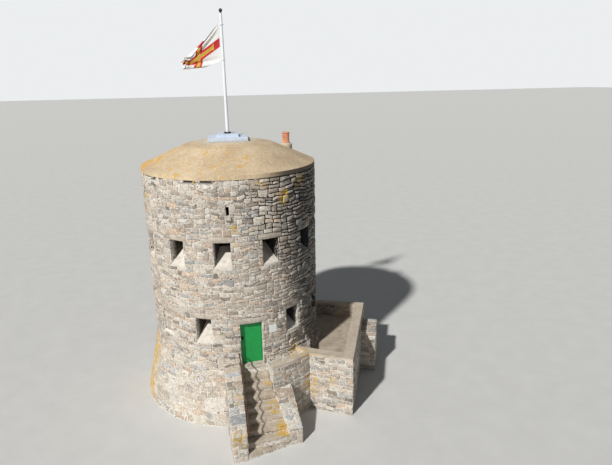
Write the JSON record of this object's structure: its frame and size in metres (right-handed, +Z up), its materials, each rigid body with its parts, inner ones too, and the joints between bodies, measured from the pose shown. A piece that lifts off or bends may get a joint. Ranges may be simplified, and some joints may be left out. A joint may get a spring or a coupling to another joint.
{
  "type": "loophole tower",
  "caption": "Round granite tower with two rows of splayed loopholes, a domed cap with a flagpole, an outside stair to a raised door and a low walled platform.",
  "frame": {"origin": "on the tower's axis, at the lowest ground that its wall meets, which is the underside of the ground floor", "axes": "+Z up along the tower's axis and the flagpole; the entrance door faces -Y; +X is to the right of the door seen from outside"},
  "size_m": [9.2396, 8.8398, 13.619],
  "materials": {
    "rubble_granite": "roughly coursed rubble granite with wide cream lime mortar and patches of yellow lichen",
    "dressed_granite": "dressed granite, worn, with lichen",
    "limewash": "rendered and limewashed masonry, weathered",
    "concrete": "weathered buff concrete with lichen spots",
    "masonry_paint": "pale blue-white masonry paint, chalky",
    "terracotta": "unglazed orange terracotta",
    "green_paint": "bright green gloss paint on boards",
    "black_iron": "black painted wrought iron, rusting at the edges",
    "rusty_steel": "brown rusted steel tube",
    "white_paint": "white gloss paint on the pole",
    "black_paint": "black gloss paint",
    "bunting": "woven bunting, white with a red cross and a gold cross inside it",
    "white_enamel": "white enamelled plate, bare",
    "drain_plastic": "grey-blue drain pipe"
  },
  "bodies": {
    "tower": {"base_wall_back": "rubble_granite", "base_wall_front": "rubble_granite", "base_wall_left": "rubble_granite", "base_wall_right": "rubble_granite", "blocked_loophole_fill": "rubble_granite", "chimney_haunch": "concrete", "chimney_pot": "terracotta", "door_frame": "green_paint", "door_lintel": "dressed_granite", "door_pintles": "black_iron", "door_side_wall_left": "rubble_granite", "door_side_wall_right": "rubble_granite", "door_sill": "dressed_granite", "drain_pipe": "drain_plastic", "entrance_floor": "concrete", "flag": "bunting", "flag_plinth": "masonry_paint", "flag_ties": "white_paint", "flagpole": "white_paint", "ground_floor": "concrete", "handrail": "rusty_steel", "landing_coping": "concrete", "landing_wall": "rubble_granite", "lower_loophole_lintels": "dressed_granite", "lower_loophole_sills": "limewash", "lower_piers": "rubble_granite", "middle_wall_back": "rubble_granite", "middle_wall_front": "rubble_granite", "middle_wall_left": "rubble_granite", "middle_wall_right": "rubble_granite", "platform_back_wall": "rubble_granite", "platform_buttress": "rubble_granite", "platform_coping": "concrete", "platform_floor": "concrete", "platform_front_wall": "rubble_granite", "platform_side_wall": "rubble_granite", "pole_finial": "black_paint", "pole_socket": "black_iron", "roof_cap": "concrete", "spout_stone": "dressed_granite", "stair_core": "dressed_granite", "stair_parapet_left": "rubble_granite", "stair_parapet_right": "rubble_granite", "stair_treads": "dressed_granite", "upper_floor": "concrete", "upper_loophole_lintels": "dressed_granite", "upper_loophole_sills": "limewash", "upper_piers": "rubble_granite", "upper_wall_back": "rubble_granite", "upper_wall_front": "rubble_granite", "upper_wall_left": "rubble_granite", "upper_wall_right": "rubble_granite", "wall_plates": "white_enamel"},
    "door": {"door_leaf": "green_paint", "door_straps": "black_iron", "door_latch": "black_iron"}
  },
  "joints": [
    {"name": "door_hinge", "type": "hinge", "parent": "tower", "child": "door", "pos_m": [0.361, -2.798, 2.75], "axis": [0, 0, -1], "range_deg": [0, 90]}
  ]
}
